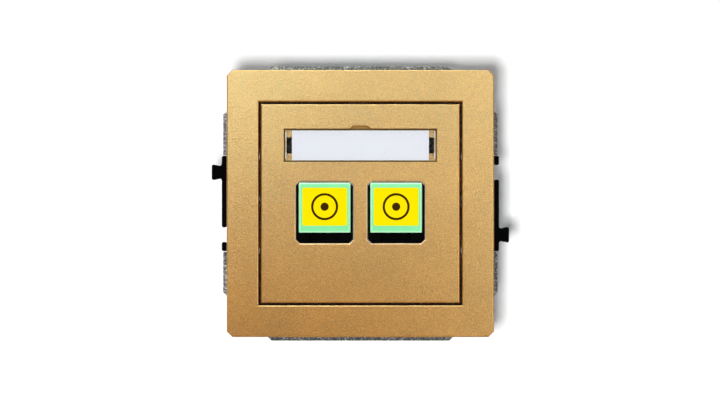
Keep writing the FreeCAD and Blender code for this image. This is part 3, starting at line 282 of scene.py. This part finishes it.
def zinc_steel():
    """Zinc plating on rolled sheet: fine spangle with bright specks, and painted brown shade behind the
    frame.
    """
    paint = Paint("zinc_steel")
    spangle = paint.cells(3.2)
    lines = paint.noise(2.4, 3.0, 0.6, (1.0, 1.0, 5.0))
    cloud = paint.noise(0.11, 4.0, 0.6)
    tone = spangle * 0.40 + lines * 0.35 + cloud * 0.25
    zinc = paint.ramp(tone, (0.34, (0.17, 0.21, 0.24)), (0.56, (0.31, 0.37, 0.41)), (0.70, (0.90, 0.97, 1.0)))
    x, _, z = paint.axes()
    # Painted shade: the steel behind the frame, seen through the gap round the centre plate, is turned dark
    # brown.
    gap_shade = paint.span(abs(x).larger(abs(z)), 1.0, 0.0, *GAP_SHADE_EDGE)
    colour = paint.blend(gap_shade * 0.6, zinc, (0.10, 0.060, 0.030))
    rough = paint.span(tone, 0.38, 0.60)
    normal = paint.relief(lines * 0.6 + spangle * 0.4, 0.02, 0.7)
    return paint.finish(Base_Color=colour, Metallic=0.85, Roughness=rough, Normal=normal)


def turned_steel(name, dark, light, low, high, lines_per_mm):
    """Bright steel with fine lines round its length."""
    paint = Paint(name)
    lines = paint.noise(lines_per_mm, 3.0, 0.55, (0.4, 6.0, 0.4))
    stain = paint.noise(0.5, 3.0, 0.6)
    tone = lines * 0.5 + stain * 0.5
    colour = paint.ramp(tone, (0.30, dark), (0.75, light))
    rough = paint.span(tone, low, high)
    normal = paint.relief(lines, 0.003, 0.4)
    return paint.finish(Base_Color=colour, Metallic=1.0, Roughness=rough, Normal=normal)


def moulded(name, dark, light, low, high, grain_per_mm, depth_mm, **extra):
    """Moulded plastic: the fine grain of its mould, and slow flow variation in colour and gloss."""
    paint = Paint(name)
    grain = paint.noise(grain_per_mm, 4.0, 0.6)
    flow = paint.noise(0.12, 3.0, 0.55)
    colour = paint.ramp(flow * 0.6 + grain * 0.4, (0.32, dark), (0.70, light))
    rough = paint.span(grain * 0.5 + flow * 0.5, low, high)
    normal = paint.relief(grain, depth_mm, 0.6)
    return paint.finish(Base_Color=colour, Roughness=rough, Normal=normal, **extra)


def flap_mint():
    """Translucent mint plastic with a painted highlight at its edges, so they are paler than the middle."""
    paint = Paint("flap_mint")
    x, _, z = paint.axes()
    middle, half = (corner.tolist() for corner in box_mm("flap_right"))
    edge = (abs(abs(x) - middle[0]) - half[0]).larger(abs(z - middle[2]) - half[2])
    # Painted highlight: the colour goes pale towards the flap's edges, where its bevels catch the light.
    glow = paint.span(edge, 0.0, 1.0, -0.55, -0.20)
    grain = paint.noise(2.0, 3.0, 0.6)
    flow = paint.noise(0.12, 2.0, 0.5)
    body = paint.ramp(flow * 0.7 + grain * 0.3, (0.32, (0.165, 0.66, 0.265)), (0.68, (0.215, 0.76, 0.325)))
    colour = paint.blend(glow * 0.75, body, (0.62, 0.94, 0.66))
    return paint.finish(Base_Color=colour, Roughness=paint.span(grain, 0.30, 0.42),
                        Normal=paint.relief(grain, 0.004, 0.5), Specular_IOR_Level=0.4)


def sticker_film():
    """Coated yellow film with a faint print mottle."""
    paint = Paint("yellow_sticker")
    mottle = paint.noise(2.2, 3.0, 0.6)
    colour = paint.ramp(mottle, (0.30, (0.90, 0.69, 0.0)), (0.70, (0.95, 0.73, 0.0005)))
    rough = paint.span(mottle, 0.36, 0.50)
    return paint.finish(Base_Color=colour, Roughness=rough, Normal=paint.relief(mottle, 0.002, 0.3),
                        Specular_IOR_Level=0.04)


def printing_ink():
    """Dark brown screen ink, thinner in places."""
    paint = Paint("printing_ink")
    mottle = paint.noise(6.0, 3.0, 0.6)
    colour = paint.ramp(mottle, (0.30, (0.026, 0.011, 0.001)), (0.75, (0.055, 0.026, 0.002)))
    return paint.finish(Base_Color=colour, Roughness=paint.span(mottle, 0.35, 0.5), Specular_IOR_Level=0.05)


def paper_card():
    """Uncoated white card with a fibre texture, a touch blue."""
    paint = Paint("paper_card")
    fibres = paint.noise(3.0, 5.0, 0.65, (1.0, 1.0, 2.6))
    colour = paint.ramp(fibres, (0.30, (0.775, 0.780, 0.800)), (0.70, (0.850, 0.860, 0.890)))
    return paint.finish(Base_Color=colour, Roughness=0.9, Normal=paint.relief(fibres, 0.01, 0.35),
                        Specular_IOR_Level=0.1)


def clear_acrylic():
    """Clear polished acrylic: light goes straight through, and the moulded ends carry a painted highlight.

    The gloss grows with the slant s of the view, 0 face on and 1 edge on, as 0.04 + 0.96 s to the fifth.
    """
    paint = Paint("clear_acrylic")
    gloss = paint.node("ShaderNodeBsdfGlossy", None, {"Color": (1.0, 1.0, 1.0, 1.0), "Roughness": 0.06})
    through = paint.node("ShaderNodeBsdfTransparent", None, {"Color": (0.985, 0.99, 1.0, 1.0)})
    # Painted highlight: this pale matt shader is laid in a band near each end of the cover, where its
    # polished edges catch the light.
    glow = paint.node("ShaderNodeBsdfDiffuse", None, {"Color": (0.84, 0.80, 0.76, 1.0)})
    x, _, z = paint.axes()
    middle, half = (corner.tolist() for corner in box_mm("label_cover"))
    from_end = abs(abs(x) - (half[0] - 0.20))
    from_corner = abs(abs(z - middle[2]) - (half[2] - 1.32))
    lit = paint.span(from_end, 0.62, 0.0, 0.07, 0.18) * paint.span(from_corner, 1.0, 0.35, 0.5, 1.2)
    slant = paint.node("ShaderNodeLayerWeight", None, {"Blend": 0.5}, output="Facing")
    polished = paint.mix(slant ** 5 * 0.96 + 0.04, through, gloss)
    return paint.surface(paint.mix(lit, polished, glow))


def studio_white():
    """Plain white studio paper, seen from its front only."""
    paint = Paint("studio_white")
    fibres = paint.noise(0.4, 2.0, 0.5)
    colour = paint.ramp(fibres, (0.3, (0.95, 0.95, 0.95)), (0.7, (0.98, 0.98, 0.98)))
    paper = paint.node("ShaderNodeBsdfDiffuse", None, {"Color": colour})
    behind = paint.node("ShaderNodeNewGeometry", output="Backfacing")
    return paint.surface(paint.mix(behind, paper, paint.node("ShaderNodeBsdfTransparent")))


FINISHES = {
    "gold_lacquer": gold_lacquer(),
    "zinc_steel": zinc_steel(),
    "screw_steel": turned_steel("screw_steel", (0.26, 0.27, 0.29), (0.55, 0.56, 0.58), 0.20, 0.40, 6.0),
    "pin_steel": turned_steel("pin_steel", (0.50, 0.50, 0.52), (0.80, 0.80, 0.82), 0.12, 0.26, 9.0),
    "black_plastic": moulded("black_plastic", (0.0006, 0.0006, 0.0007), (0.0024, 0.0024, 0.0026),
                             0.34, 0.52, 5.0, 0.010, Specular_IOR_Level=0.05),
    "mint_plastic": moulded("mint_plastic", (0.215, 0.700, 0.330), (0.260, 0.790, 0.390),
                            0.45, 0.60, 4.0, 0.004, Specular_IOR_Level=0.15, Subsurface_Weight=0.2,
                            Subsurface_Radius=(0.001, 0.002, 0.001), Subsurface_Scale=0.5),
    "green_plastic": moulded("green_plastic", (0.015, 0.200, 0.045), (0.030, 0.290, 0.075),
                             0.30, 0.46, 4.5, 0.006),
    "ivory_plastic": moulded("ivory_plastic", (0.62, 0.58, 0.45), (0.74, 0.70, 0.58),
                             0.34, 0.50, 4.5, 0.005, Subsurface_Weight=0.15,
                             Subsurface_Radius=(0.001, 0.0008, 0.0006), Subsurface_Scale=0.5),
    "clear_plastic": clear_acrylic(),
    "white_card": paper_card(),
    "yellow_sticker": sticker_film(),
    "zirconia": moulded("zirconia", (0.78, 0.78, 0.75), (0.86, 0.86, 0.84),
                        0.06, 0.14, 3.0, 0.001, Coat_Weight=0.4),
}
INK = printing_ink()
FACE = flap_mint()


def dress_cad_nodes():
    """Gives every CAD node the finish of its own material slot."""
    slots = {row["node"]: row["material_slot"] for row in frame["record"]["subparts"]}
    for name, node in frame["nodes"].items():
        node.data.materials.clear()
        node.data.materials.append(FINISHES[slots[name]])


# ---------------------------------------------------------------- mesh building
def make_piece(name, points, faces, material, body, smooth=True):
    """A mesh in the outlet's frame, from an array of points in metres and a list of faces."""
    mesh = bpy.data.meshes.new(name)
    mesh.from_pydata(points.reshape(-1, 3).tolist(), [], faces)
    mesh.update()
    mesh.materials.append(material)
    mesh.polygons.foreach_set("use_smooth", np.full(len(mesh.polygons), smooth))
    piece = bpy.data.objects.new(name, mesh)
    bpy.context.scene.collection.objects.link(piece)
    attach(piece, body)
    return piece


def tube_faces(rings, count):
    """Quads between rings of count points each, ring after ring; the last point of a ring joins its first."""
    ring, point = np.meshgrid(np.arange(rings - 1) * count, np.arange(count), indexing="ij")
    after = (point + 1) % count
    corners = [ring + point, ring + after, ring + count + after, ring + count + point]
    return np.stack(corners, -1).reshape(-1, 4)


def circle(count, start=0.0):
    """Points of a unit circle in X and Z, evenly spaced, anticlockwise from the start angle in radians."""
    turn = np.linspace(0, FULL_TURN, count + 1)[:-1] + start
    return np.stack([np.cos(turn), np.sin(turn)], -1)


def weld(piece):
    """Closes poles and seams by merging points that coincide, then turns all faces outwards."""
    work = bmesh.new()
    work.from_mesh(piece.data)
    bmesh.ops.remove_doubles(work, verts=work.verts, dist=2e-7)
    bmesh.ops.dissolve_degenerate(work, dist=1e-8, edges=work.edges)
    bmesh.ops.recalc_face_normals(work, faces=work.faces)
    work.to_mesh(piece.data)
    work.free()


# ---------------------------------------------------------------- claw screws
# In millimetres; the head's outer radius and both ends come from the CAD screw's box.
SHANK_RADIUS = 1.45
THREAD_PITCH = 0.5
THREAD_DEPTH = 0.28
HEAD_DEPTH = 1.8
DOME_RISE = 0.75
SLOT_HALF = 0.48
SLOT_SINK = 1.05


def threaded_screw(side):
    """Long cross-slot screw, as one surface of turns round its axis.

    A point at angle a and station s has radius R(s, a). On the shank R is the outer radius less the thread's
    depth times a rounded triangle wave of y / pitch - a / full turn, faded at both ends. On the head the
    surface runs out over a domed rim to the centre, and the cross is a smooth sinking of the dome where the
    point is within half a slot of either of two crossing lines.
    """
    middle, half = box_mm(f"claw_screw_{side}")
    head, front, tip = half[0], middle[1] - half[1], middle[1] + half[1]
    seat = front + HEAD_DEPTH
    turns = np.linspace(0, FULL_TURN, 49)[:-1]
    dome = np.linspace(0, np.pi / 2, 26)
    thread_y = np.arange(seat + 0.02, tip - 0.02, THREAD_PITCH / 7)
    y = np.concatenate([front + DOME_RISE * (1 - np.cos(dome)), [front + 0.95, seat - 0.12, seat, seat],
                        thread_y, [tip, tip]])
    r = np.concatenate([head * np.sin(dome) * 0.97, [head, head, head * 0.98, SHANK_RADIUS * 1.02],
                        np.full(thread_y.size, SHANK_RADIUS), [SHANK_RADIUS * 0.55, 0.0]])
    station, angle = np.meshgrid(np.arange(y.size), turns, indexing="ij")
    yy, rr = y[station], r[station]
    first = y.size - thread_y.size - 2
    on_thread = (station >= first) & (station < first + thread_y.size)
    phase = (yy / THREAD_PITCH - angle / FULL_TURN) % 1
    wave = np.clip(np.abs(phase * 2 - 1) * 1.25 - 0.1, 0, 1)
    fade = np.clip((yy - seat - 0.9) / 0.8, 0, 1) * np.clip((tip - yy) / 0.3, 0, 1)
    taper = 0.35 * np.clip(1 - (tip - yy) / 0.7, 0, 1)
    rr = np.where(on_thread, rr - THREAD_DEPTH * wave * fade - taper, rr)
    x, z = rr * np.cos(angle), rr * np.sin(angle)
    across, along = np.minimum(np.abs(x), np.abs(z)), np.maximum(np.abs(x), np.abs(z))
    sink = np.clip((SLOT_HALF - across) / 0.14, 0, 1) * np.clip((head * 0.72 - along) / 0.25, 0, 1)
    yy = np.where(station < dome.size, yy + SLOT_SINK * sink, yy)
    points = np.stack([middle[0] + x, yy, z], -1) * MM
    faces = tube_faces(y.size, turns.size)[:, ::-1].tolist()
    piece = make_piece(f"cross_slot_screw_{side}", points, faces, FINISHES["screw_steel"], f"{side}_screw")
    weld(piece)
    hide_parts(f"claw_screw_{side}")


# ---------------------------------------------------------------- printed mark on the stickers
# In millimetres; the radii are the ring's outer and inner edge, and the dot.
MARK_RADII = (3.45, 2.85, 1.05)
INK_LIFT = 0.006
INK_THICKNESS = 0.005


def printed_mark(side):
    """A plain ring round a dot, like a fibre seen end on, as thin raised ink on the sticker.

    The ring is the strip between two circles and the dot is a third circle, all about the sticker's middle.
    """
    middle, half = box_mm(f"flap_sticker_{side}")
    front = middle[1] - half[1] - INK_LIFT
    edge = circle(72)
    points = np.full((len(MARK_RADII), len(edge), 3), front)
    points[..., ::2] = middle[::2] + np.array(MARK_RADII)[:, None, None] * edge
    faces = tube_faces(2, len(edge)).tolist()
    faces.append(list(range(2 * len(edge), 3 * len(edge))))
    piece = make_piece(f"printed_mark_{side}", points * MM, faces, INK, f"{side}_flap",
                       smooth=False)
    shell = piece.modifiers.new("ink thickness", "SOLIDIFY")
    shell.thickness = INK_THICKNESS * MM
    shell.offset = -1


# ---------------------------------------------------------------- flap faces
# Rings of the face plate, back to front: how far each is moved in, and its place behind the flap's front.
FACE_RINGS = ((0.02, 0.30), (0.0, 0.27), (0.0, 0.10), (0.26, -0.055), (0.34, -0.07))
FACE_CORNER = 0.30


def flap_face(side):
    """Bevelled face plate of a flap.

    Each ring is a rounded rectangle: a circle of the corner's radius whose four quarters are moved out to the
    rectangle's corners. The first and the last ring are each closed by one flat face.
    """
    middle, half = box_mm(f"flap_{side}")
    front = middle[1] - half[1]
    edge = circle(32)
    quarter = np.sign(circle(32, start=1e-4))
    rings = []
    for inset, behind in FACE_RINGS:
        corner = FACE_CORNER - inset * 0.5
        flat = quarter * (half[::2] - [0.03, 0.02] - inset - corner) + edge * corner
        rings.append(np.insert(middle[::2] + flat, 1, front + behind, axis=1))
    faces = tube_faces(len(rings), len(edge)).tolist()
    last = (len(rings) - 1) * len(edge)
    faces += [list(range(len(edge)))[::-1], list(range(last, last + len(edge)))]
    piece = make_piece(f"flap_face_{side}", np.concatenate(rings) * MM, faces, FACE, f"{side}_flap",
                       smooth=False)
    weld(piece)


# ---------------------------------------------------------------- studio
def backdrop():
    """White studio paper, upright behind the outlet's rearmost screws."""
    reach, behind = 1.6, 0.0235
    points = [(x * reach, behind, z * reach) for x, z in ((-1, -1), (1, -1), (1, 1), (-1, 1))]
    mesh = bpy.data.meshes.new("backdrop")
    mesh.from_pydata(points, [], [(0, 1, 2, 3)])
    mesh.materials.append(studio_white())
    paper = bpy.data.objects.new("backdrop", mesh)
    bpy.context.scene.collection.objects.link(paper)
    paper.visible_shadow = False


def aim(lamp, target):
    """Turns a lamp so that it shines at the target."""
    way = Vector(target) - lamp.location
    lamp.rotation_euler = way.to_track_quat("-Z", "Y").to_euler()


def softbox(name, place, size, watts, at=(0, 0, 0), matt=True, gloss=True, colour=(1.0, 1.0, 1.0), only=None):
    """A lamp aimed at a point: matt and gloss say which kind of surface it lights, only which pieces."""
    data = bpy.data.lights.new(name, "AREA")
    data.shape = "RECTANGLE"
    data.size, data.size_y = size
    data.energy = watts
    data.color = colour
    lamp = bpy.data.objects.new(name, data)
    lamp.location = place
    lamp.visible_camera = False
    lamp.visible_diffuse = matt
    lamp.visible_glossy = gloss
    lamp.light_linking.receiver_collection = only
    bpy.context.scene.collection.objects.link(lamp)
    aim(lamp, at)


def air():
    """Even light from all round, dim round the lens so that gloss has something dark to mirror.

    The lens itself sees it white.
    """
    sky = Paint("studio_air", "worlds")
    way = sky.node("ShaderNodeTexCoord", output="Generated")
    toward_room = sky.node("ShaderNodeSeparateXYZ", None, {0: way}, output="Y")
    dim = sky.span(toward_room, 0.03, 0.42, -0.98, -0.70)
    seen = sky.node("ShaderNodeLightPath", output="Is Camera Ray")
    glow = {"Color": (0.95, 0.95, 0.95, 1.0), "Strength": dim.larger(seen)}
    bpy.context.scene.world = sky.surface(sky.node("ShaderNodeBackground", None, glow))


def studio():
    """A small matt key low on the left, panels that are only gloss on the lacquer, and two lamps behind."""
    lacquer = bpy.data.collections.new("lacquered")
    for name in ("trim_frame", "centre_plate"):
        lacquer.objects.link(frame["nodes"][name])
    for side in SIDES:
        lacquer.objects.link(bpy.data.objects[f"flap_face_{side}"])
    cool = {"matt": False, "colour": (0.62, 0.80, 1.0), "only": lacquer}
    warm = {"matt": False, "colour": (0.86, 0.94, 1.0), "only": lacquer}
    softbox("front_fill", (-0.075, -1.0, -0.085), (0.12, 0.12), 8.9, gloss=False)
    softbox("top_left_panel", (-0.085, -0.31, 0.118), (0.13, 0.19), 0.74, (-0.085, 0, 0.118), **cool)
    softbox("top_right_panel", (0.085, -0.31, 0.110), (0.11, 0.19), 0.38, (0.085, 0, 0.110), **cool)
    softbox("right_panel", (0.15, -0.34, -0.05), (0.06, 0.16), 0.42, **warm)
    softbox("edge_panel", (-0.05, -0.16, 0.40), (0.30, 0.10), 2.0, **warm)
    softbox("upper_gloss", (-0.25, -0.45, 0.45), (0.25, 0.25), 2.4, matt=False)
    softbox("rear_fill", (0.5, 0.7, 0.5), (0.6, 0.6), 14.0)
    softbox("rear_fill_low", (-0.6, 0.6, -0.2), (0.6, 0.6), 10.0)


def camera():
    """A long lens straight in front; the width it takes in at the front faces is 183.2 mm."""
    front = cad_box[0][1]
    distance, width, sensor = 0.9, 0.1832, 0.036
    data = bpy.data.cameras.new("front_view")
    data.sensor_width = sensor / MM
    data.lens = sensor / MM * distance / width
    data.clip_start, data.clip_end = 0.01, 10
    eye = bpy.data.objects.new("front_view", data)
    eye.location = (-0.0001, front - distance, 0.0)
    eye.rotation_euler = (math.pi / 2, 0, 0)
    bpy.context.scene.collection.objects.link(eye)
    bpy.context.scene.camera = eye


dress_cad_nodes()
for side in SIDES:
    threaded_screw(side)
    flap_face(side)
    printed_mark(side)
backdrop()
air()
studio()
camera()
bpy.context.scene.view_settings.view_transform = "Standard"
